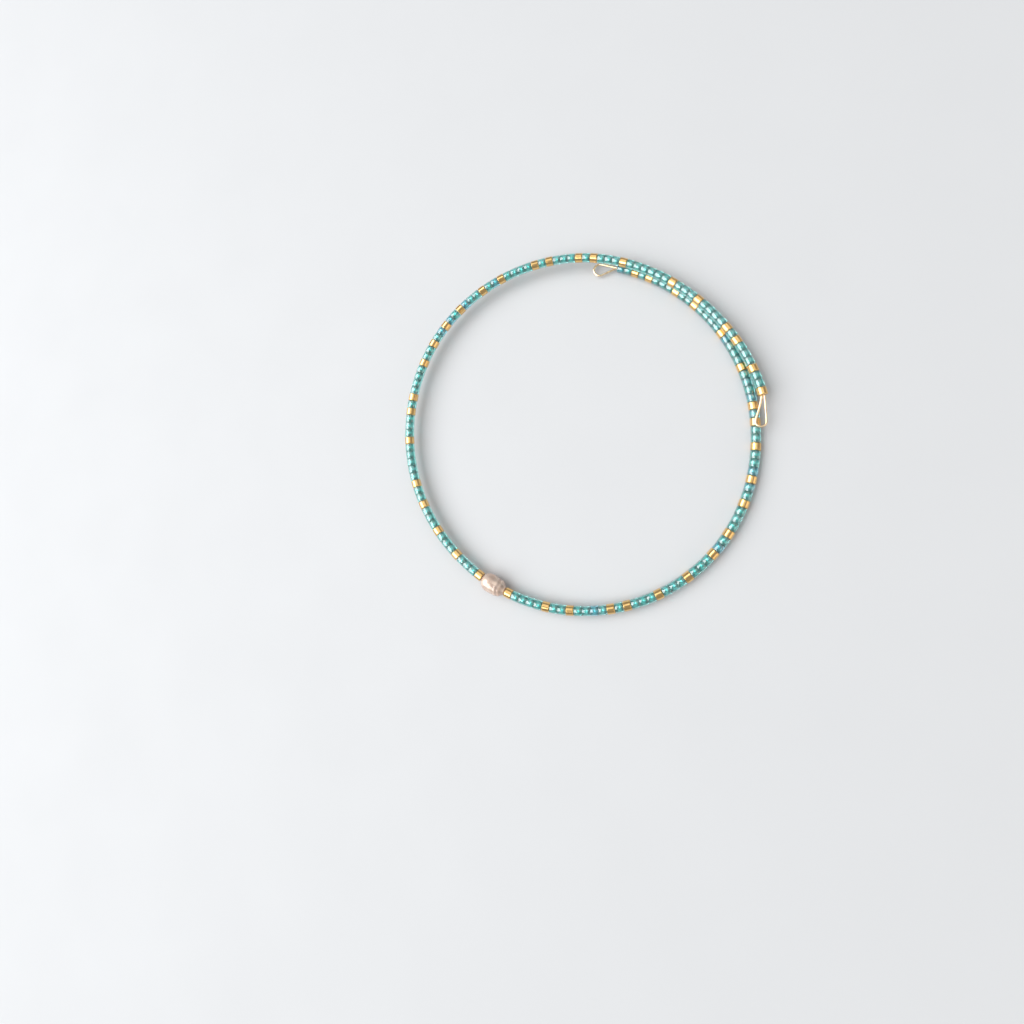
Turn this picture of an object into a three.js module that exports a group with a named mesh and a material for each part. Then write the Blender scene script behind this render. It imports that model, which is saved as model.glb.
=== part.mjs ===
// Beaded wrap bracelet, lying on a flat surface as it rests by itself. Millimetres, +Z up.
// One springy wire runs a turn and a sixth, so its two ends lie over each other. It is strung
// with teal cylinder beads, single gold beads between them and one pearl, and each end of the
// wire is bent back into an eye.
import * as THREE from 'three';

const { degToRad, smoothstep } = THREE.MathUtils;

// Cylinder beads
const TEAL_DIAMETER = 1.6;
const GOLD_DIAMETER = 1.64;
const BEAD_PITCH = 1.29;
const BEAD_EDGE = 0.13;
const RIM_INSET = 0.14;
const GOLD_LENGTH = 1.21;
const HOLE_DIAMETER = 0.8;
const BEAD_SIDES = 10;
const FACE_GAP = 0.02;

// How many teal beads stand between one gold bead and the next, from the upper end
const RUNS_TO_PEARL = [2, 3, 1, 4, 3, 6, 3, 1, 3, 1, 4, 2, 3, 2, 2, 2, 4, 1, 3, 5, 2, 3, 3, 3, 0];
const RUNS_FROM_PEARL = [4, 2, 4, 1, 3, 3, 3, 2, 3, 2, 3, 2, 1, 4, 4, 4, 2, 3, 1, 2];

// Pearl: fuller than an egg at its ends, with a blunt end, a shallow waist and a flat at each hole
const PEARL_LENGTH = 4.25;
const PEARL_WIDTH = 3.1;
const PEARL_SLOT = 4.35;
const PEARL_SIDES = 14;
const PEARL_RINGS = 9;
const PEARL_FULLNESS = 2.3;
const PEARL_TAPER = 0.07;
const PEARL_WAIST = 0.025;
const PEARL_END_RADIUS = 0.62;

// Wire
const WIRE_DIAMETER = 0.36;
const WIRE_SIDES = 6;
const WIRE_STEPS = 44;
const WIRE_END_GAP = 0.3;
const LEG_INSIDE = 0.5;
const LEG_OFFSET = 0.2;
const LEG_BEND = 0.1;
const LEG_CROSSING = 0.1;
const EYE_ARC_POINTS = 9;

// Coil of the wire, by the angle around the wrist: it opens towards its upper end
const UPPER_END_DEG = 8.1;
const COIL_STATIONS = [
  { deg: 0, radius: 30.3 },
  { deg: 45, radius: 28.85 },
  { deg: 90, radius: 29.35 },
  { deg: 135, radius: 29.4 },
  { deg: 180, radius: 28.75 },
  { deg: 225, radius: 28.6 },
  { deg: 270, radius: 29.3 },
  { deg: 315, radius: 29.45 },
  { deg: 360, radius: 28.55 },
  { deg: 405, radius: 28.35 },
  { deg: 450, radius: 28.8 },
];
const STACK_RISE = 1.66;
const STACK_DEG = { top: 65, floor: 385 };
const END_DROP = 0.4;
const END_DROP_DEG = { from: 10, to: 50 };

// Eyes at the wire's ends: the lean turns an eye in towards the wrist
const UPPER_EYE = { length: 5.1, width: 1.95, leanDeg: 19, fall: 0.1, crossed: false };
const LOWER_EYE = { length: 4.3, width: 2.3, leanDeg: 18, fall: 0.1, crossed: true };

const TEAL_RADIUS = TEAL_DIAMETER / 2;
const GOLD_RADIUS = GOLD_DIAMETER / 2;
const WIRE_RADIUS = WIRE_DIAMETER / 2;
const HOLE_RADIUS = HOLE_DIAMETER / 2;
const UP = new THREE.Vector3(0, 0, 1);

const finish = (color, roughness, metalness) =>
  new THREE.MeshStandardMaterial({ color, roughness, metalness });
const tealGlass = finish(0x4fa79d, 0.15, 0.1);
const goldPlate = finish(0xd9a95c, 0.25, 1);
const pearlNacre = finish(0xe9cfc2, 0.3, 0);
const goldWire = finish(0xe6c48c, 0.3, 1);

// Height of the wire's axis: the lower end lies on its gold beads, and a turn later the upper
// end lies on the lower one
function coilHeight(deg) {
  const climb = 1 - smoothstep(deg, STACK_DEG.top, STACK_DEG.floor);
  const drop = 1 - smoothstep(deg, END_DROP_DEG.from, END_DROP_DEG.to);
  return GOLD_RADIUS + STACK_RISE * climb - END_DROP * drop;
}

class CoilPath extends THREE.Curve {
  constructor() {
    super();
    this.arcLengthDivisions = 4000;
    const degs = COIL_STATIONS.map((station) => station.deg);
    const radii = COIL_STATIONS.map((station) => station.radius);
    this.radiusOf = new THREE.CubicInterpolant(degs, radii, 1, [0]);
    this.endDeg = degs[degs.length - 1];
  }

  getPoint(t, target = new THREE.Vector3()) {
    const deg = THREE.MathUtils.lerp(UPPER_END_DEG, this.endDeg, t);
    const [radius] = this.radiusOf.evaluate(deg);
    return target.set(
      radius * Math.cos(degToRad(deg)),
      radius * Math.sin(degToRad(deg)),
      coilHeight(deg),
    );
  }
}

const coil = new CoilPath();
const coilLength = coil.getLength();

// Place and directions at a length along the coil: along the wire, outwards and up
function stationAt(length) {
  const u = length / coilLength;
  const along = coil.getTangentAt(u);
  const outward = new THREE.Vector3().crossVectors(along, UP).normalize();
  const up = new THREE.Vector3().crossVectors(outward, along);
  return { point: coil.getPointAt(u), along, outward, up };
}

// Lengths along the coil: where each teal run starts, each gold bead's middle and the pearl's
function strand() {
  const runs = [];
  const golds = [];
  let length = 0;
  const addRuns = (counts) => {
    for (const count of counts) {
      golds.push(length + BEAD_PITCH / 2);
      length += BEAD_PITCH;
      if (count) runs.push({ start: length, count });
      length += count * BEAD_PITCH;
    }
  };
  addRuns(RUNS_TO_PEARL);
  const pearl = length + PEARL_SLOT / 2;
  length += PEARL_SLOT;
  addRuns(RUNS_FROM_PEARL);
  return { runs, golds, pearl, length };
}

// A lathe whose flats, not its corners, lie at the profile's radius
function flatSidedLathe(profile, sides) {
  const corner = 1 / Math.cos(Math.PI / sides);
  const points = profile.map(([radius, along]) => new THREE.Vector2(radius * corner, along));
  return new THREE.LatheGeometry(points, sides);
}

// Bends a lathe's axis onto the coil, with one of its flats facing down
function bendOntoCoil(geometry) {
  const position = geometry.attributes.position;
  const vertex = new THREE.Vector3();
  for (let i = 0; i < position.count; i++) {
    vertex.fromBufferAttribute(position, i);
    const { point, outward, up } = stationAt(vertex.y);
    point.addScaledVector(up, vertex.x).addScaledVector(outward, -vertex.z);
    position.setXYZ(i, point.x, point.y, point.z);
  }
  return geometry;
}

// Turns a straight lathe to lie along the coil at a length, with a flat facing down
function layOnCoil(mesh, length) {
  const { point, along, outward, up } = stationAt(length);
  const basis = new THREE.Matrix4().makeBasis(up, along, outward.clone().negate());
  mesh.position.copy(point);
  mesh.quaternion.setFromRotationMatrix(basis);
  return mesh;
}

// Outline of one run: beads with rounded edges, joined at their rims
function runProfile({ start, count }) {
  const rim = TEAL_RADIUS - RIM_INSET;
  const end = start + count * BEAD_PITCH;
  const profile = [[WIRE_RADIUS, start + FACE_GAP], [rim, start + FACE_GAP]];
  for (let bead = 0; bead < count; bead++) {
    const from = start + bead * BEAD_PITCH;
    const to = from + BEAD_PITCH;
    if (bead) profile.push([rim, from]);
    profile.push([TEAL_RADIUS, from + BEAD_EDGE], [TEAL_RADIUS, to - BEAD_EDGE]);
  }
  profile.push([rim, end - FACE_GAP]);
  return { profile, end: end - FACE_GAP };
}

// Wire and teal runs between two lengths as one body. With a socket, the last bead is left
// open at its end for the eye's legs, and otherwise the wire runs on to the end.
function beadString(runs, from, to, socket) {
  const profile = [[0, from], [WIRE_RADIUS, from]];
  runs.forEach((run, index) => {
    const outline = runProfile(run);
    profile.push(...outline.profile);
    if (!socket || index < runs.length - 1) profile.push([WIRE_RADIUS, outline.end]);
  });
  if (socket) {
    const floor = to - LEG_INSIDE - WIRE_END_GAP;
    profile.push([HOLE_RADIUS, to - FACE_GAP], [HOLE_RADIUS, floor], [0, floor]);
  } else {
    profile.push([WIRE_RADIUS, to], [0, to]);
  }
  return bendOntoCoil(flatSidedLathe(profile, BEAD_SIDES));
}

function goldBead() {
  const half = GOLD_LENGTH / 2;
  const profile = [
    [HOLE_RADIUS, -half],
    [GOLD_RADIUS, -half],
    [GOLD_RADIUS, half],
    [HOLE_RADIUS, half],
    [HOLE_RADIUS, -half],
  ];
  return flatSidedLathe(profile, BEAD_SIDES);
}

// Drilled oval pearl that touches the surface under it
function pearlBead(restHeight) {
  const half = PEARL_LENGTH / 2;
  const hole = (2 * HOLE_RADIUS) / PEARL_WIDTH;
  const end = (2 * PEARL_END_RADIUS) / PEARL_WIDTH;
  const profile = [[hole, -half]];
  for (let ring = 0; ring <= PEARL_RINGS; ring++) {
    const angle = (ring / PEARL_RINGS) * Math.PI;
    const along = -Math.cos(angle);
    const round = Math.sqrt(1 - Math.abs(along) ** PEARL_FULLNESS);
    const shape = 1 - PEARL_TAPER * (1 + along) - PEARL_WAIST * (1 + Math.cos(4 * angle));
    profile.push([Math.max(end, round * shape), along * half]);
  }
  profile.push([hole, half], [hole, -half]);
  const widest = Math.max(...profile.map(([radius]) => radius));
  const geometry = flatSidedLathe(profile, PEARL_SIDES);
  return geometry.scale(restHeight / widest, 1, PEARL_WIDTH / 2 / widest);
}

// Centre line of an eye in its own frame: x away from the beads, z up, turned about z by lean.
// Its two legs stand in the last bead's hole, side by side or, if they cross, one on the other.
function eyeLine({ length, width, fall, crossed }, lean) {
  const bend = (width - WIRE_DIAMETER) / 2;
  const middle = length - WIRE_RADIUS - bend;
  const tangent = Math.acos(bend / middle);
  const [across, lift] = crossed ? [LEG_CROSSING, LEG_OFFSET] : [LEG_OFFSET, 0];
  const leg = (along, sign) => new THREE.Vector3(along, across * sign, lift * sign);
  const round = [];
  for (let i = 0; i < EYE_ARC_POINTS; i++) {
    const sign = 1 - (2 * i) / (EYE_ARC_POINTS - 1);
    const turn = sign * (Math.PI - tangent);
    const x = middle + bend * Math.cos(turn);
    const y = (crossed ? -1 : 1) * bend * Math.sin(turn);
    const z = (sign * lift) / 2 - (fall * x) / length;
    round.push(new THREE.Vector3(x, y, z).applyAxisAngle(UP, lean));
  }
  const points = [
    leg(-LEG_INSIDE, 1), leg(-LEG_BEND, 1), ...round, leg(-LEG_BEND, -1), leg(-LEG_INSIDE, -1),
  ];
  return new THREE.CatmullRomCurve3(points, false, 'centripetal');
}

function wireEye(eye, lean) {
  const section = new THREE.Shape();
  for (let side = 0; side < WIRE_SIDES; side++) {
    const angle = (side / WIRE_SIDES) * 2 * Math.PI;
    const corner = [WIRE_RADIUS * Math.cos(angle), WIRE_RADIUS * Math.sin(angle)];
    if (side) section.lineTo(...corner);
    else section.moveTo(...corner);
  }
  return new THREE.ExtrudeGeometry(section, { steps: WIRE_STEPS, extrudePath: eyeLine(eye, lean) });
}

const pieces = new THREE.Group();
const addPiece = (name, geometry, material) => {
  const mesh = new THREE.Mesh(geometry, material);
  mesh.name = name;
  pieces.add(mesh);
  return mesh;
};

// Stands an eye at an end of the coil. It points away from the beads, with or against the coil.
function addEye(name, eye, length, away) {
  const mesh = addPiece(name, wireEye(eye, away * degToRad(eye.leanDeg)), goldWire);
  const { point, outward } = stationAt(length);
  const forward = new THREE.Vector3().crossVectors(UP, outward).multiplyScalar(away);
  const sideways = new THREE.Vector3().crossVectors(UP, forward);
  mesh.position.copy(point);
  mesh.quaternion.setFromRotationMatrix(new THREE.Matrix4().makeBasis(forward, sideways, UP));
}

const { runs, golds, pearl, length: strandLength } = strand();
const upperRuns = runs.filter((run) => run.start < pearl);
const lowerRuns = runs.filter((run) => run.start > pearl);
const upperStart = (BEAD_PITCH - GOLD_LENGTH) / 2 + LEG_INSIDE + WIRE_END_GAP;

addPiece('upper_bead_string',
  beadString(upperRuns, upperStart, pearl - WIRE_END_GAP / 2, false), tealGlass);
addPiece('lower_bead_string',
  beadString(lowerRuns, pearl + WIRE_END_GAP / 2, strandLength, true), tealGlass);
golds.forEach((length, index) => {
  const name = `gold_bead_${String(index + 1).padStart(2, '0')}`;
  layOnCoil(addPiece(name, goldBead(), goldPlate), length);
});
layOnCoil(addPiece('pearl_bead', pearlBead(coil.getPointAt(pearl / coilLength).z), pearlNacre),
  pearl);
addEye('upper_end_eye', UPPER_EYE, (BEAD_PITCH - GOLD_LENGTH) / 2, -1);
addEye('lower_end_eye', LOWER_EYE, strandLength - FACE_GAP, 1);

// The origin lies on the surface, under the middle of the whole bracelet
const bracelet = new THREE.Group();
bracelet.add(pieces);
const middle = new THREE.Box3().setFromObject(pieces, true).getCenter(new THREE.Vector3());
pieces.position.set(-middle.x, -middle.y, 0);

export default bracelet;
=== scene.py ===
# Beaded wrap bracelet: one springy wire of a turn and a sixth, strung with teal glass beads,
# gold plated beads and one pearl. Metres, +Z up, lying on its floor.
import math
import random
from bisect import bisect_right

import bmesh
import bpy
from bpy.props import FloatProperty, FloatVectorProperty, IntProperty, PointerProperty
from mathutils import Matrix, Vector, noise


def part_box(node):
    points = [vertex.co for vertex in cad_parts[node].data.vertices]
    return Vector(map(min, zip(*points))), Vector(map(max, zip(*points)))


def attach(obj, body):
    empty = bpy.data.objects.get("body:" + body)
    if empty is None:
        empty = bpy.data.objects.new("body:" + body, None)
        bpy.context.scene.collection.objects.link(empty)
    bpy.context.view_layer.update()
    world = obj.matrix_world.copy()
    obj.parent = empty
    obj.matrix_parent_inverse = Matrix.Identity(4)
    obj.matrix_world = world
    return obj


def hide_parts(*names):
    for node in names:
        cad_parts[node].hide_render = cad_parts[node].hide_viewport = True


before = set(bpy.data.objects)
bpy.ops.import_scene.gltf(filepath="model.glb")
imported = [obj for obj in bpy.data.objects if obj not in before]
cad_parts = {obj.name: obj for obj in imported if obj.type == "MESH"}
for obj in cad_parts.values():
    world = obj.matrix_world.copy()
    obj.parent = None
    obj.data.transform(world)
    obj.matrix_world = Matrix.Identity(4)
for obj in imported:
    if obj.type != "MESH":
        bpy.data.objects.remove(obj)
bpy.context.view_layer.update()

bl_info = {
    "name": "Beaded Wrap Bracelet",
    "version": (1, 0, 0),
    "blender": (4, 5, 0),
    "location": "View3D > Sidebar > Bracelet",
    "description": "Strings glass beads, gold beads and a pearl on a springy wire",
    "category": "Add Mesh",
}

MM = 0.001
UP = Vector((0, 0, 1))
BODY = "root"

# How many teal beads stand between one gold bead and the next, from the upper end
RUNS_TO_PEARL = (2, 3, 1, 4, 3, 6, 3, 1, 3, 1, 4, 2, 3, 2, 2, 2, 4, 1, 3, 5, 2, 3, 3, 3, 0)
RUNS_FROM_PEARL = (4, 2, 4, 1, 3, 3, 3, 2, 3, 2, 3, 2, 1, 4, 4, 4, 2, 3, 1, 2)

# Coil of the wire, by the angle around the wrist: its radii at equal steps, and its two heights
COIL_STEP_DEG = 45
COIL_RADII_MM = (30.3, 28.85, 29.35, 29.4, 28.75, 28.6, 29.3, 29.45, 28.55, 28.35, 28.8)
UPPER_END_DEG = 8.1
STACK_RISE = 1.66 * MM
STACK_DEG = {"top": 65, "floor": 385}
END_DROP = 0.4 * MM
END_DROP_DEG = {"from": 10, "to": 50}
COIL_SAMPLES = 4000

# Eyes at the wire's ends: the lean turns an eye in towards the wrist
UPPER_EYE = {
    "length": 5.1 * MM, "width": 1.95 * MM, "lean_deg": 19, "fall": 0.1 * MM, "crossed": False,
}
LOWER_EYE = {
    "length": 4.3 * MM, "width": 2.3 * MM, "lean_deg": 18, "fall": 0.1 * MM, "crossed": True,
}
EYE_ARC_POINTS = 13
LEG_INSIDE = 0.5 * MM
LEG_BEND = 0.1 * MM
LEG_OFFSET = 0.2 * MM
LEG_CROSSING = 0.1 * MM
LEG_RUN_IN = 1.6 * MM
FACE_GAP = 0.02 * MM

# Skin of the pearl: lengths are shares of its half length, and waves are counted over a metre
RIDGES = {"rate": 9.5, "first": 0.33, "fade_in": 0.45, "slant": 0.14, "slant_turn": 0.6, "height": 0.7}
WANDER = {"waves": 620, "reach": 0.16}
DENTS = {"waves": 1000, "offset": Vector((3.1, 0.4, 7.7)), "height": 0.9}
DIMPLE = {"along": 0.2, "up": 0.7, "reach": 0.35}

# Distances from the pearl's axis where its relief starts and is full, in radii of the drilled hole
RELIEF = {"start": 1.2, "full": 2.5}


def length_property(name, description, millimetres):
    return FloatProperty(
        name=name, description=description, default=millimetres * MM, min=0, unit="LENGTH", precision=5
    )


def colour_property(name, description, rgb):
    return FloatVectorProperty(
        name=name, description=description, default=rgb, min=0, max=1, size=3, subtype="COLOR"
    )


class BeadSizes(bpy.types.PropertyGroup):
    pitch: length_property("Pitch", "From one bead to the next along the wire", 1.29)
    teal_diameter: length_property("Teal diameter", "Across a teal bead", 1.6)
    teal_length: length_property("Teal length", "Along a teal bead", 1.28)
    gold_diameter: length_property("Gold diameter", "Across a gold bead", 1.64)
    gold_length: length_property("Gold length", "Along a gold bead", 1.21)
    hole: length_property("Hole", "Across the drilled hole", 0.8)
    rounding: length_property("Rounding", "Rounding of a bead's outer rims", 0.1)
    sides: IntProperty(name="Sides", description="Facets around a bead", default=16, min=8, max=48)
    spread: FloatProperty(
        name="Spread", description="How far a bead's size strays from its neighbours", default=0.015,
        min=0, max=0.1, subtype="FACTOR",
    )
    tilt: FloatProperty(
        name="Tilt", description="How far a bead hangs askew on the wire", default=math.radians(0.6),
        min=0, unit="ROTATION",
    )
    seed: IntProperty(name="Seed", description="Picks another set of small differences", default=7)


class PearlSizes(bpy.types.PropertyGroup):
    length: length_property("Length", "Along the drilled hole", 4.25)
    width: length_property("Width", "Across the pearl, outwards from the wrist", 3.1)
    slot: length_property("Slot", "Length of wire that the pearl takes", 4.35)
    end_radius: length_property("End radius", "Flat around each drilled hole", 0.62)
    fullness: FloatProperty(name="Fullness", description="Above 2, fuller than an egg", default=2.6, min=1)
    taper: FloatProperty(name="Taper", description="Slimmer towards one end", default=0.07, min=0, max=1)
    waist: FloatProperty(name="Waist", description="Depth of the hollows", default=0.025, min=0, max=1)
    ridge_height: length_property("Ridge height", "Half of the depth between its growth ridges", 0.042)
    rings: IntProperty(name="Rings", description="Rings of faces from end to end", default=60, min=8)
    sides: IntProperty(name="Sides", description="Faces around the pearl", default=64, min=12)


class WireSizes(bpy.types.PropertyGroup):
    diameter: length_property("Diameter", "Across the wire", 0.36)
    spacing: length_property("Spacing", "Between the curve's points inside the beads", 1.5)


class Colours(bpy.types.PropertyGroup):
    teal_deep: colour_property("Deep teal", "The greener glass", (0.26, 0.86, 0.79))
    teal_light: colour_property("Light teal", "The paler glass", (0.52, 0.95, 0.93))
    teal_blue: colour_property("Blue teal", "The few bluer beads", (0.26, 0.74, 0.92))
    teal_lining: colour_property("Lining", "Lustre around the hole", (0.10, 0.80, 0.77))
    gold: colour_property("Gold", "Plating of the beads", (0.88, 0.56, 0.21))
    # Mixed in at random dull clouds, and as painted shade at each bead's ends where it meets its
    # neighbours
    gold_dull_and_shade: colour_property("Worn gold", "Plating where it is rubbed or dull", (0.60, 0.33, 0.10))
    wire: colour_property("Wire", "Plating of the wire", (0.96, 0.76, 0.52))
    pearl: colour_property("Pearl", "Body of the pearl", (0.74, 0.57, 0.46))
    # Painted shade mixed into the pearl's hollows between its ridges
    pearl_shade: colour_property("Pearl hollows", "The pearl between its ridges", (0.36, 0.26, 0.22))
    pearl_blush: colour_property("Pearl blush", "Warmer clouds in the nacre", (0.66, 0.43, 0.31))
    floor: colour_property("Floor", "Plain pale floor", (0.55, 0.55, 0.55))


class StageSizes(bpy.types.PropertyGroup):
    floor_size: FloatProperty(
        name="Floor", description="Half a side of the floor", default=3, unit="LENGTH",
    )
    camera_place: FloatVectorProperty(
        name="Camera", description="Where the camera stands", default=(0.01620, -0.01839, 0.10489),
        size=3, subtype="TRANSLATION", unit="LENGTH", precision=5,
    )
    tilt: FloatProperty(
        name="Tilt", description="Of the line of sight from straight down", default=math.radians(17.96),
        unit="ROTATION",
    )
    azimuth: FloatProperty(
        name="Azimuth", description="Side that the camera leans to", default=math.radians(-36.25),
        unit="ROTATION",
    )
    lens: FloatProperty(
        name="Lens", description="Focal length on a 36 mm frame", default=22.5, unit="CAMERA",
    )
    framing: FloatProperty(
        name="Framing", description="Shift of the frame up, as a share of its width", default=-0.09,
    )


class BraceletSettings(bpy.types.PropertyGroup):
    beads: PointerProperty(type=BeadSizes, name="Beads", description="Sizes of the beads")
    pearl: PointerProperty(type=PearlSizes, name="Pearl", description="Sizes of the pearl")
    wire: PointerProperty(type=WireSizes, name="Wire", description="Sizes of the wire")
    colours: PointerProperty(type=Colours, name="Colours", description="Colours of the finishes")
    stage: PointerProperty(type=StageSizes, name="Stage", description="Floor and camera")


# Wire and strand

def smoothstep(value, start, end):
    share = min(max((value - start) / (end - start), 0), 1)
    return share * share * (3 - 2 * share)


def coil_radius(deg):
    """Radius at an angle, on a smooth curve through the stations."""
    radii = COIL_RADII_MM
    padded = (2 * radii[0] - radii[1], *radii, 2 * radii[-1] - radii[-2])
    first = min(int(deg / COIL_STEP_DEG), len(radii) - 2)
    before, start, end, after = padded[first:first + 4]
    share = deg / COIL_STEP_DEG - first
    slope = (end - before) / 2
    bend = before - 2.5 * start + 2 * end - after / 2
    twist = 1.5 * (start - end) + (after - before) / 2
    return MM * (start + share * (slope + share * (bend + share * twist)))


def coil_height(deg, axis):
    climb = 1 - smoothstep(deg, STACK_DEG["top"], STACK_DEG["floor"])
    drop = 1 - smoothstep(deg, END_DROP_DEG["from"], END_DROP_DEG["to"])
    return axis + STACK_RISE * climb - END_DROP * drop


class Coil:
    """The wire's axis through the beads, by the length along it from the upper end."""

    def __init__(self, sizes):
        self.axis = sizes.gold_diameter / 2
        self.shift = Vector()
        self.end_deg = COIL_STEP_DEG * (len(COIL_RADII_MM) - 1)
        points = [self.point_at(i / COIL_SAMPLES) for i in range(COIL_SAMPLES + 1)]
        self.lengths = [0.0]
        for start, end in zip(points, points[1:]):
            self.lengths.append(self.lengths[-1] + (end - start).length)
        lowest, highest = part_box("gold_bead_01")
        self.shift = (lowest + highest) / 2 - self.place(sizes.pitch / 2)[0]

    def point_at(self, share):
        deg = UPPER_END_DEG + share * (self.end_deg - UPPER_END_DEG)
        turn = math.radians(deg)
        radius = coil_radius(deg)
        point = Vector((radius * math.cos(turn), radius * math.sin(turn), coil_height(deg, self.axis)))
        return point + self.shift

    def place(self, length):
        """Point, direction along the wire and direction outwards at a length."""
        step = min(bisect_right(self.lengths, length) - 1, COIL_SAMPLES - 1)
        start, end = self.lengths[step:step + 2]
        share = (step + (length - start) / (end - start)) / COIL_SAMPLES
        nudge = 1 / COIL_SAMPLES
        along = (self.point_at(share + nudge) - self.point_at(share - nudge)).normalized()
        return self.point_at(share), along, along.cross(UP).normalized()

    def bead_matrix(self, length):
        """Stands a bead's own axes at a length: X along the wire, Y inwards and Z up."""
        point, along, outward = self.place(length)
        axes = Matrix((along, -outward, outward.cross(along))).transposed()
        return Matrix.Translation(point) @ axes.to_4x4()


class Strand:
    """Lengths along the wire of every bead's middle, from the upper end."""

    def __init__(self, settings):
        self.pitch = settings.beads.pitch
        self.golds, self.upper_teals, self.lower_teals = [], [], []
        start = self.add_runs(RUNS_TO_PEARL, 0, self.upper_teals)
        self.pearl = start + settings.pearl.slot / 2
        self.length = self.add_runs(RUNS_FROM_PEARL, start + settings.pearl.slot, self.lower_teals)

    def add_runs(self, counts, start, teals):
        for count in counts:
            self.golds.append(start + self.pitch / 2)
            teals += [start + self.pitch * (bead + 1.5) for bead in range(count)]
            start += self.pitch * (count + 1)
        return start


# Materials

class Value:
    """A socket of a material. An expression on it adds its Math nodes."""

    def __init__(self, shader, socket):
        self.shader, self.socket = shader, socket

    def math(self, operation, *values, clamped=False):
        settings = {"operation": operation, "use_clamp": clamped}
        return self.shader.node("ShaderNodeMath", settings, dict(enumerate(values)))

    def __add__(self, other):
        return self.math("ADD", self, other)

    def __sub__(self, other):
        return self.math("SUBTRACT", self, other)

    def __rsub__(self, other):
        return self.math("SUBTRACT", other, self)

    def __mul__(self, other):
        return self.math("MULTIPLY", self, other)

    def __pow__(self, other):
        return self.math("POWER", self, other)

    def __abs__(self):
        return self.math("ABSOLUTE", self)

    __radd__ = __add__
    __rmul__ = __mul__

    def clamped(self):
        return self.math("ADD", self, 0, clamped=True)

    def between(self, low, high):
        """0 below low, 1 above high, and a smooth rise between them."""
        sockets = {"Value": self, "From Min": low, "From Max": high}
        return self.shader.node("ShaderNodeMapRange", {"interpolation_type": "SMOOTHSTEP"}, sockets)


class Shader:
    """The nodes of one material."""

    def __init__(self, name):
        self.material = bpy.data.materials.new(name)
        self.material.use_nodes = True
        self.tree = self.material.node_tree
        self.tree.nodes.clear()

    def node(self, kind, settings=(), sockets=(), output=0):
        node = self.tree.nodes.new(kind)
        for name, value in dict(settings).items():
            setattr(node, name, value)
        for name, value in dict(sockets).items():
            if isinstance(value, Value):
                self.tree.links.new(value.socket, node.inputs[name])
            else:
                node.inputs[name].default_value = value
        return Value(self, node.outputs[output]) if node.outputs else None

    def object_place(self):
        return self.node("ShaderNodeTexCoord", output="Object")

    def attribute(self, name, output):
        return self.node("ShaderNodeAttribute", {"attribute_name": name}, output=output)

    def parts(self, vector):
        """X, Y and Z of a vector."""
        separate = self.node("ShaderNodeSeparateXYZ", sockets={0: vector})
        return [Value(self, socket) for socket in separate.socket.node.outputs]

    def stretched(self, vector, factors):
        return self.node("ShaderNodeVectorMath", {"operation": "MULTIPLY"}, {0: vector, 1: factors})

    def shifted(self, vector, offset):
        return self.node("ShaderNodeVectorMath", {"operation": "ADD"}, {0: vector, 1: offset})

    def noise(self, vector, scale, detail=3.0, distortion=0.0):
        sockets = {"Vector": vector, "Scale": scale, "Detail": detail, "Distortion": distortion}
        return self.node("ShaderNodeTexNoise", sockets=sockets, output="Fac")

    def mix(self, factor, first, second):
        sockets = {0: factor, 6: first, 7: second}
        return self.node("ShaderNodeMix", {"data_type": "RGBA"}, sockets, output=2)

    def bump(self, height, distance, strength=1.0):
        sockets = {"Height": height, "Distance": distance, "Strength": strength}
        return self.node("ShaderNodeBump", sockets=sockets)

    def surface(self, sockets):
        principled = self.node("ShaderNodeBsdfPrincipled", sockets=sockets)
        self.node("ShaderNodeOutputMaterial", sockets={"Surface": principled})
        return self.material


def rgba(colour):
    return (*colour, 1.0)


def teal_glass(colours):
    """Clear teal glass with a lustre, stronger around its hole. Each bead has its own tone."""
    shader = Shader("teal_glass")
    inside = shader.attribute("bead_place", "Vector")
    tone = shader.attribute("bead_tone", "Fac")
    along, across, upward = shader.parts(inside)
    apart = shader.node("ShaderNodeCombineXYZ", sockets={0: tone * 40, 1: tone * 17})
    own = shader.shifted(inside, apart)
    streaks = shader.noise(shader.stretched(own, (0.3, 2.5, 2.5)), 1.6, detail=2.0)
    grain = shader.noise(own, 9.0, detail=2.0)
    paleness = (tone * 0.7 + streaks * 0.6 - 0.2).clamped()
    glass = shader.mix(paleness, rgba(colours.teal_deep), rgba(colours.teal_light))
    glass = shader.mix(tone.between(0.88, 0.96) * 0.7, glass, rgba(colours.teal_blue))
    lining = 1 - ((across * across + upward * upward) ** 0.5).between(0.5, 0.62)
    end = abs(along).between(0.86, 1.0)
    return shader.surface({
        "Base Color": shader.mix(lining * 0.85, glass, rgba(colours.teal_lining)),
        "Metallic": lining * 0.8,
        "Roughness": 0.08 + end * 0.15 + lining * 0.25 + grain * 0.06,
        "Normal": shader.bump(grain, 0.01 * MM, 0.5),
        "Transmission Weight": 0.92,
        "IOR": 1.55,
        "Coat Weight": 1.0,
        "Coat Roughness": 0.06,
        "Coat IOR": 1.9,
    })


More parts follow.
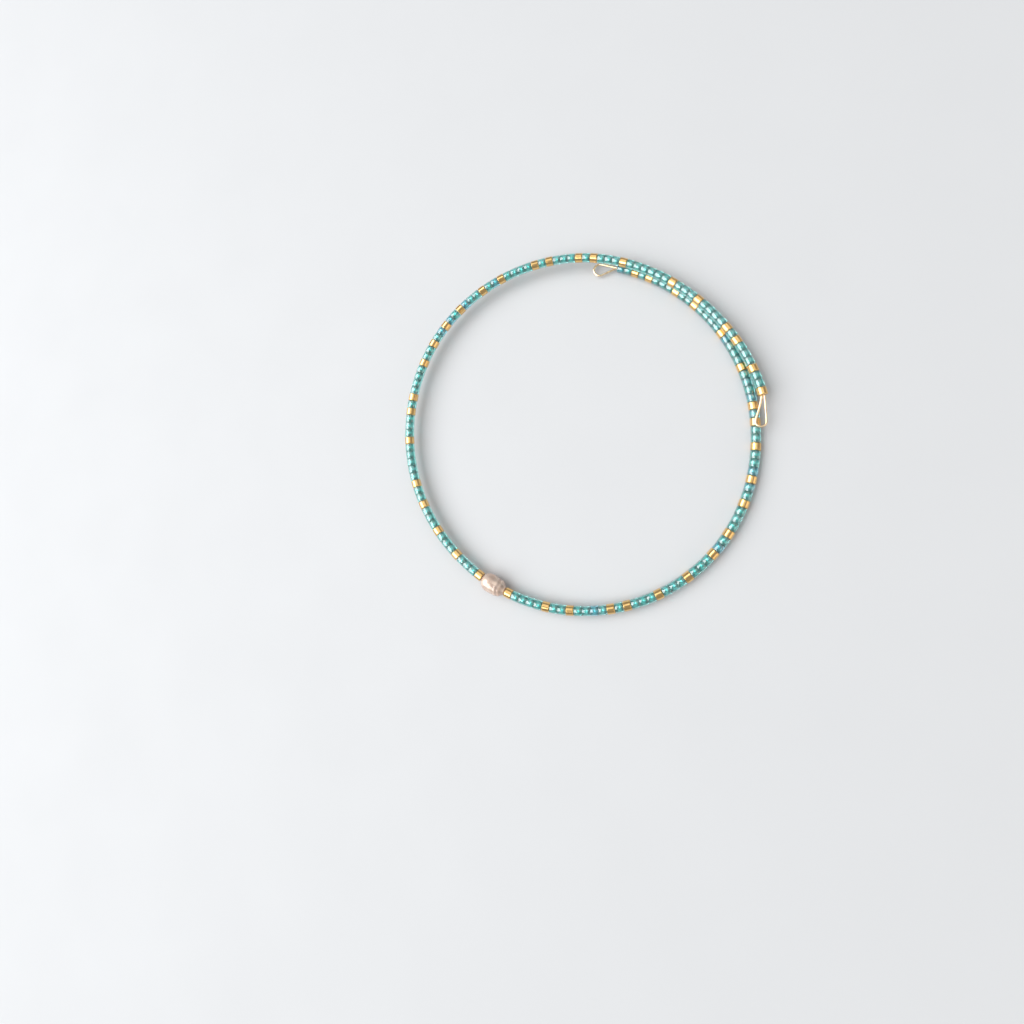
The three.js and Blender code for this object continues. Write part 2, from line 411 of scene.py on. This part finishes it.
def gold_plate(colours):
    """Bright plating, duller in random clouds, with fine scratches in its bump. Painted shade darkens each
    bead's ends, where it meets its neighbours, and the ends are rougher.
    """
    shader = Shader("gold_plate")
    place = shader.object_place()
    along, _, _ = shader.parts(shader.attribute("bead_place", "Vector"))
    cloud = shader.noise(place, 900.0, detail=2.0)
    flattened = shader.stretched(place, (1.0, 1.0, 5.0))
    scratches = shader.noise(flattened, 2600.0, detail=4.0, distortion=0.6)
    # Painted shade at both ends of each bead, where it meets its neighbours; the ends are rougher as well
    end_wear_and_shade = abs(along).between(0.9, 1.0)
    # Random dull clouds and the painted shade at the ends darken the plating
    dullness_and_shade = (cloud.between(0.45, 0.75) * 0.4 + end_wear_and_shade * 0.4).clamped()
    return shader.surface({
        "Base Color": shader.mix(dullness_and_shade, rgba(colours.gold), rgba(colours.gold_dull_and_shade)),
        "Metallic": 1.0,
        "Roughness": 0.14 + cloud * 0.1 + end_wear_and_shade * 0.1,
        "Normal": shader.bump(scratches, 0.01 * MM, 0.4),
        "Coat Weight": 0.6,
        "Coat Roughness": 0.08,
    })


def gold_wire(colours):
    """Drawn wire with pale plating and fine lines."""
    shader = Shader("gold_wire")
    place = shader.object_place()
    lines = shader.noise(place, 3200.0, detail=3.0)
    cloud = shader.noise(place, 700.0, detail=2.0)
    return shader.surface({
        "Base Color": shader.mix(cloud.between(0.4, 0.8) * 0.5, rgba(colours.wire), rgba(colours.gold)),
        "Metallic": 1.0,
        "Roughness": 0.2 + lines * 0.12,
        "Normal": shader.bump(lines, 0.006 * MM, 0.5),
    })


def pearl_nacre(colours):
    """Satin nacre with painted shade in its hollows between the ridges, and a thin film's faint play of
    colour.
    """
    shader = Shader("pearl_nacre")
    place = shader.object_place()
    ridge = shader.attribute("pearl_ridge", "Fac")
    cloud = shader.noise(place, 520.0, detail=3.0, distortion=0.4)
    grain = shader.noise(place, 2200.0, detail=3.0)
    # Painted shade in the hollows between the growth ridges, broken up by the clouds
    painted_hollow_shade = (1.05 - ridge * 1.2 + cloud * 0.5 - 0.3).clamped()
    nacre = shader.mix(cloud.between(0.4, 0.65) * 0.6, rgba(colours.pearl), rgba(colours.pearl_blush))
    return shader.surface({
        "Base Color": shader.mix(painted_hollow_shade * 0.85, nacre, rgba(colours.pearl_shade)),
        "Metallic": 0.3,
        "Roughness": 0.2 + cloud * 0.14,
        "Normal": shader.bump(cloud + grain * 0.4, 0.07 * MM, 0.7),
        "Coat Weight": 0.7,
        "Coat Roughness": 0.12,
        "Subsurface Weight": 0.15,
        "Subsurface Radius": (1.0, 0.7, 0.5),
        "Subsurface Scale": 0.4 * MM,
        "Thin Film Thickness": 380.0,
        "Thin Film IOR": 1.45,
    })


def pale_floor(colours):
    shader = Shader("pale_floor")
    grain = shader.noise(shader.object_place(), 60.0, detail=2.0)
    tint = [channel * 0.97 for channel in colours.floor]
    return shader.surface({
        "Base Color": shader.mix(grain, rgba(colours.floor), rgba(tint)),
        "Roughness": 0.6 + grain * 0.1,
    })


# Meshes

def finished_mesh(name, bm, material):
    """Makes a joined, smooth mesh object of the bmesh and adds it to the scene."""
    bmesh.ops.recalc_face_normals(bm, faces=bm.faces)
    for face in bm.faces:
        face.smooth = True
    mesh = bpy.data.meshes.new(name)
    bm.to_mesh(mesh)
    bm.free()
    return finished_object(name, mesh, material)


def finished_object(name, mesh, material):
    mesh.materials.append(material)
    piece = bpy.data.objects.new(name, mesh)
    bpy.context.scene.collection.objects.link(piece)
    return piece


def turned(section, sides):
    """Bmesh of a closed section turned around X: its points are places along X and radii."""
    bm = bmesh.new()
    verts = [bm.verts.new((x, 0, radius)) for x, radius in section]
    edges = [bm.edges.new((verts[i - 1], verts[i])) for i in range(len(verts))]
    bmesh.ops.spin(
        bm, geom=verts + edges, cent=(0, 0, 0), axis=(1, 0, 0), dvec=(0, 0, 0),
        angle=math.tau, steps=sides, use_merge=True,
    )
    return bm


def drilled_bead(sizes, diameter, length, crisp):
    """Mesh of one bead around X: a short tube with rounded rims.

    The wall of a crisp bead is shaded straight up to its rims, and a soft one's rolls into them.
    """
    half, hole, outside = length / 2, sizes.hole / 2, diameter / 2
    bm = turned(((-half, hole), (half, hole), (half, outside), (-half, outside)), sizes.sides)
    rims = [
        edge for edge in bm.edges
        if abs(edge.verts[0].co.x - edge.verts[1].co.x) < half
        and all(vert.co.yz.length > (hole + outside) / 2 for vert in edge.verts)
    ]
    bevel = bmesh.ops.bevel(
        bm, geom=rims, offset=sizes.rounding, segments=2, profile=0.5, affect="EDGES", material=-1,
    )
    rounded = set(bevel["faces"])
    for edge in bm.edges:
        start, end = (vert.co.x for vert in edge.verts)
        around = math.isclose(start, end, abs_tol=sizes.rounding / 10)
        edge.smooth = not (crisp and around) or rounded.issuperset(edge.link_faces)
    mesh = bpy.data.meshes.new("bead")
    bm.to_mesh(mesh)
    bm.free()
    return mesh


def string_beads(name, coil, lengths, bead, size, sizes, material, luck):
    """Joins a copy of the bead at each length, with small differences in size and hang."""
    bm = bmesh.new()
    place_layer = bm.verts.layers.float_vector.new("bead_place")
    tone_layer = bm.verts.layers.float.new("bead_tone")
    shrink = Matrix.Diagonal([2 / side for side in size])
    for length in lengths:
        first = len(bm.verts)
        bm.from_mesh(bead)
        bm.verts.ensure_lookup_table()
        verts = bm.verts[first:]
        tone = luck.random()
        for vert in verts:
            vert[place_layer] = shrink @ vert.co
            vert[tone_layer] = tone
        thick = 1 - sizes.spread * luck.random()
        short = 1 - sizes.spread * luck.random()
        hang = Matrix.Rotation(sizes.tilt * luck.uniform(-1, 1), 4, "Y")
        swing = Matrix.Rotation(sizes.tilt * luck.uniform(-1, 1), 4, "Z")
        roll = Matrix.Rotation(luck.uniform(0, math.tau), 4, "X")
        scale = Matrix.Diagonal((short, thick, thick, 1))
        pose = coil.bead_matrix(length) @ hang @ swing @ roll @ scale
        bmesh.ops.transform(bm, matrix=pose, verts=verts)
    return finished_mesh(name, bm, material)


def pearl_outline(sizes):
    """Half section of the pearl along X: place along it and radius, from end to end."""
    outline = []
    end = 2 * sizes.end_radius / sizes.width
    for ring in range(sizes.rings + 1):
        angle = math.pi * ring / sizes.rings
        along = -math.cos(angle)
        around = math.sqrt(max(1 - abs(along) ** sizes.fullness, 0))
        shape = 1 - sizes.taper * (1 + along) - sizes.waist * (1 + math.cos(4 * angle))
        outline.append((along * sizes.length / 2, math.hypot(end, around * shape)))
    return outline


def ripple(point, half):
    """Growth ridges and dents of the pearl: from -1 in its hollows to 1 on its ridges."""
    along = point.x / half
    slant = RIDGES["slant"] * math.sin(math.atan2(point.z, point.y) + RIDGES["slant_turn"])
    wander = WANDER["reach"] * noise.noise(point * WANDER["waves"])
    turn = RIDGES["rate"] * (along + slant + wander - RIDGES["first"])
    ridges = RIDGES["height"] * (1 - 2 * abs(math.sin(turn))) * smoothstep(along, 0, RIDGES["fade_in"])
    dents = DENTS["height"] * noise.noise(point * DENTS["waves"] + DENTS["offset"])
    middle = Vector((DIMPLE["along"] * half, 0, DIMPLE["up"] * half))
    dimple = 1 - smoothstep((point - middle).length, 0, DIMPLE["reach"] * half)
    return min(max(ridges + dents - dimple, -1), 1)


def join_body(piece, slot, *nodes):
    """Fixes a piece to the bracelet in place of its plain solids."""
    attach(piece, BODY)
    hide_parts(*nodes)


class BRACELET_OT_teal_beads(bpy.types.Operator):
    """String the teal glass beads, before and after the pearl"""

    bl_idname = "bracelet.teal_beads"
    bl_label = "Teal Beads"
    bl_options = {"REGISTER", "UNDO"}

    def execute(self, context):
        settings = context.scene.bracelet
        sizes = settings.beads
        coil, strand = Coil(sizes), Strand(settings)
        luck = random.Random(sizes.seed)
        bead = drilled_bead(sizes, sizes.teal_diameter, sizes.teal_length, crisp=False)
        size = (sizes.teal_length, sizes.teal_diameter, sizes.teal_diameter)
        glass = teal_glass(settings.colours)
        upper = string_beads("upper_teal_beads", coil, strand.upper_teals, bead, size, sizes, glass, luck)
        lower = string_beads("lower_teal_beads", coil, strand.lower_teals, bead, size, sizes, glass, luck)
        join_body(upper, "teal_glass", "upper_bead_string")
        join_body(lower, "teal_glass", "lower_bead_string")
        bpy.data.meshes.remove(bead)
        return {"FINISHED"}


class BRACELET_OT_gold_beads(bpy.types.Operator):
    """String the gold plated beads"""

    bl_idname = "bracelet.gold_beads"
    bl_label = "Gold Beads"
    bl_options = {"REGISTER", "UNDO"}

    def execute(self, context):
        settings = context.scene.bracelet
        sizes = settings.beads
        coil, strand = Coil(sizes), Strand(settings)
        luck = random.Random(sizes.seed + 1)
        bead = drilled_bead(sizes, sizes.gold_diameter, sizes.gold_length, crisp=True)
        size = (sizes.gold_length, sizes.gold_diameter, sizes.gold_diameter)
        plate = gold_plate(settings.colours)
        golds = string_beads("gold_beads", coil, strand.golds, bead, size, sizes, plate, luck)
        join_body(golds, "gold_plate", *(f"gold_bead_{i + 1:02}" for i in range(len(strand.golds))))
        bpy.data.meshes.remove(bead)
        return {"FINISHED"}


class BRACELET_OT_pearl(bpy.types.Operator):
    """Add the drilled freshwater pearl with its ridges"""

    bl_idname = "bracelet.pearl"
    bl_label = "Pearl"
    bl_options = {"REGISTER", "UNDO"}

    def execute(self, context):
        settings = context.scene.bracelet
        sizes = settings.pearl
        coil, strand = Coil(settings.beads), Strand(settings)
        hole = settings.beads.hole / 2
        half = sizes.length / 2
        outline = pearl_outline(sizes)
        widest = max(radius for _, radius in outline)
        drilled = 2 * hole / sizes.width
        section = [(-half, drilled), *outline, (half, drilled)]
        bm = turned([(x, radius / widest) for x, radius in section], sizes.sides)
        axis_height = coil.place(strand.pearl)[0].z
        bmesh.ops.scale(bm, vec=(1, sizes.width / 2, axis_height), verts=bm.verts)
        bmesh.ops.recalc_face_normals(bm, faces=bm.faces)
        self.carve(bm, sizes, hole)
        bmesh.ops.transform(bm, matrix=coil.bead_matrix(strand.pearl), verts=bm.verts)
        pearl = finished_mesh("freshwater_pearl", bm, pearl_nacre(settings.colours))
        join_body(pearl, "pearl_nacre", "pearl_bead")
        return {"FINISHED"}

    def carve(self, bm, sizes, hole):
        """Carves the skin down between its ridges and leaves the drilled hole smooth."""
        layer = bm.verts.layers.float.new("pearl_ridge")
        bm.normal_update()
        moves = []
        for vert in bm.verts:
            height = ripple(vert.co, sizes.length / 2)
            vert[layer] = 0.5 + height / 2
            reach = vert.co.yz.length / hole
            skin = smoothstep(reach, RELIEF["start"], RELIEF["full"])
            moves.append((vert, vert.normal * (height - 1) * skin * sizes.ridge_height))
        for vert, move in moves:
            vert.co += move


class BRACELET_OT_memory_wire(bpy.types.Operator):
    """Run the wire through every bead and bend each end back into an eye"""

    bl_idname = "bracelet.memory_wire"
    bl_label = "Memory Wire"
    bl_options = {"REGISTER", "UNDO"}

    def eye_points(self, eye, away, radius):
        """An eye's centre line from leg to leg. X points away from the beads and Z up."""
        bend = eye["width"] / 2 - radius
        middle = eye["length"] - radius - bend
        tangent = math.acos(bend / middle)
        across, lift = (LEG_CROSSING, LEG_OFFSET) if eye["crossed"] else (LEG_OFFSET, 0)
        lean = Matrix.Rotation(away * math.radians(eye["lean_deg"]), 3, "Z")
        points = []
        for i in range(EYE_ARC_POINTS):
            sign = 1 - 2 * i / (EYE_ARC_POINTS - 1)
            turn = sign * (math.pi - tangent)
            x = middle + bend * math.cos(turn)
            y = (-1 if eye["crossed"] else 1) * bend * math.sin(turn)
            z = sign * lift / 2 - eye["fall"] * x / eye["length"]
            points.append(lean @ Vector((x, y, z)))
        first = [Vector((x, across, lift)) for x in (-LEG_INSIDE, -LEG_BEND)]
        last = [Vector((x, -across, -lift)) for x in (-LEG_BEND, -LEG_INSIDE)]
        return first + points + last

    def eye_line(self, coil, eye, length, away, radius):
        """Stands an eye at an end of the coil."""
        point, _, outward = coil.place(length)
        forward = UP.cross(outward) * away
        axes = Matrix((forward, UP.cross(forward), UP)).transposed()
        return [point + axes @ local for local in self.eye_points(eye, away, radius)]

    def execute(self, context):
        settings = context.scene.bracelet
        coil, strand = Coil(settings.beads), Strand(settings)
        mesh = self.drawn(context, self.route(settings, coil, strand), settings.wire.diameter / 2)
        wire = finished_object("memory_wire", mesh, gold_wire(settings.colours))
        join_body(wire, "gold_wire", "upper_end_eye", "lower_end_eye")
        return {"FINISHED"}

    def route(self, settings, coil, strand):
        """Points of the wire from eye to eye."""
        beads, radius = settings.beads, settings.wire.diameter / 2
        upper = self.eye_line(coil, UPPER_EYE, (beads.pitch - beads.gold_length) / 2, -1, radius)
        lower = self.eye_line(coil, LOWER_EYE, strand.length - FACE_GAP, 1, radius)
        count = round((strand.length - 2 * LEG_RUN_IN) / settings.wire.spacing)
        step = (strand.length - 2 * LEG_RUN_IN) / count
        middle = [coil.place(LEG_RUN_IN + step * i)[0] for i in range(count + 1)]
        return upper[:-1] + middle + lower[1:]

    def drawn(self, context, points, radius):
        """Mesh of a round wire along a smooth curve through the points."""
        curve = bpy.data.curves.new("drawn_wire", "CURVE")
        curve.dimensions = "3D"
        curve.bevel_depth = radius
        curve.bevel_resolution = 3
        curve.resolution_u = 8
        curve.use_fill_caps = True
        spline = curve.splines.new("BEZIER")
        spline.bezier_points.add(len(points) - 1)
        for knot, point in zip(spline.bezier_points, points):
            knot.co = point
            knot.handle_left_type = knot.handle_right_type = "AUTO"
        line = bpy.data.objects.new("drawn_wire", curve)
        context.scene.collection.objects.link(line)
        context.view_layer.update()
        mesh = bpy.data.meshes.new_from_object(line.evaluated_get(context.evaluated_depsgraph_get()))
        bpy.data.objects.remove(line)
        mesh.materials.clear()
        mesh.shade_smooth()
        return mesh


# Stage

FRAME_WIDTH_MM = 36
VIEW_DEPTH = {"nearest": 0.001, "farthest": 20}
ROOM_COLOUR = (0.86, 0.90, 0.96, 1.0)
ROOM_STRENGTH = 0.4
SOFTBOXES = (
    # name, place, width and height, power in watts, colour
    ("window", (-0.80, -0.10, 0.88), (1.60, 1.20), 27.0, (0.96, 0.98, 1.0)),
    ("ceiling", (0.20, 0.60, 1.20), (1.20, 1.20), 3.5, (1.0, 0.98, 0.95)),
    ("bounce", (0.96, -0.40, 0.45), (0.80, 0.80), 2.0, (1.0, 0.86, 0.70)),
)


class BRACELET_OT_stage(bpy.types.Operator):
    """Add the floor, the soft light and the camera"""

    bl_idname = "bracelet.stage"
    bl_label = "Stage"
    bl_options = {"REGISTER", "UNDO"}

    def execute(self, context):
        settings = context.scene.bracelet
        self.add_floor(settings)
        self.add_light(context.scene)
        self.add_camera(context.scene, settings.stage)
        return {"FINISHED"}

    def add_floor(self, settings):
        bm = bmesh.new()
        bmesh.ops.create_grid(bm, x_segments=1, y_segments=1, size=settings.stage.floor_size)
        floor = finished_mesh("floor", bm, pale_floor(settings.colours))

    def add_light(self, scene):
        world = bpy.data.worlds.new("soft_room")
        world.use_nodes = True
        background = world.node_tree.nodes["Background"]
        background.inputs["Color"].default_value = ROOM_COLOUR
        background.inputs["Strength"].default_value = ROOM_STRENGTH
        scene.view_settings.view_transform = "Standard"
        scene.world = world
        for name, place, size, power, colour in SOFTBOXES:
            light = bpy.data.lights.new(name, "AREA")
            light.shape = "RECTANGLE"
            light.size, light.size_y = size
            light.energy = power
            light.color = colour
            box = bpy.data.objects.new(name, light)
            box.location = place
            box.rotation_euler = Vector(place).to_track_quat("Z", "Y").to_euler()
            scene.collection.objects.link(box)

    def add_camera(self, scene, sizes):
        lens = bpy.data.cameras.new("camera")
        lens.lens = sizes.lens
        lens.sensor_width = FRAME_WIDTH_MM
        lens.shift_y = sizes.framing
        lens.clip_start = VIEW_DEPTH["nearest"]
        lens.clip_end = VIEW_DEPTH["farthest"]
        camera = bpy.data.objects.new("camera", lens)
        tilted = Vector((math.sin(sizes.tilt), 0, math.cos(sizes.tilt)))
        back = Matrix.Rotation(sizes.azimuth, 3, "Z") @ tilted
        camera.location = sizes.camera_place
        camera.rotation_mode = "QUATERNION"
        camera.rotation_quaternion = UP.rotation_difference(back)
        scene.collection.objects.link(camera)
        scene.camera = camera


STEPS = (
    BRACELET_OT_memory_wire,
    BRACELET_OT_teal_beads,
    BRACELET_OT_gold_beads,
    BRACELET_OT_pearl,
    BRACELET_OT_stage,
)


class BRACELET_PT_sidebar(bpy.types.Panel):
    """Lists the bracelet's pieces and its stage"""

    bl_label = "Beaded Bracelet"
    bl_idname = "BRACELET_PT_sidebar"
    bl_space_type = "VIEW_3D"
    bl_region_type = "UI"
    bl_category = "Bracelet"

    def draw(self, context):
        for step in STEPS:
            self.layout.operator(step.bl_idname)


CLASSES = (
    BeadSizes, PearlSizes, WireSizes, Colours, StageSizes, BraceletSettings,
    *STEPS, BRACELET_PT_sidebar,
)


def register():
    for cls in CLASSES:
        bpy.utils.register_class(cls)
    bpy.types.Scene.bracelet = PointerProperty(type=BraceletSettings)


def unregister():
    del bpy.types.Scene.bracelet
    for cls in reversed(CLASSES):
        bpy.utils.unregister_class(cls)


def main():
    register()
    bpy.ops.bracelet.memory_wire()
    bpy.ops.bracelet.teal_beads()
    bpy.ops.bracelet.gold_beads()
    bpy.ops.bracelet.pearl()
    bpy.ops.bracelet.stage()


if __name__ == "__main__":
    main()
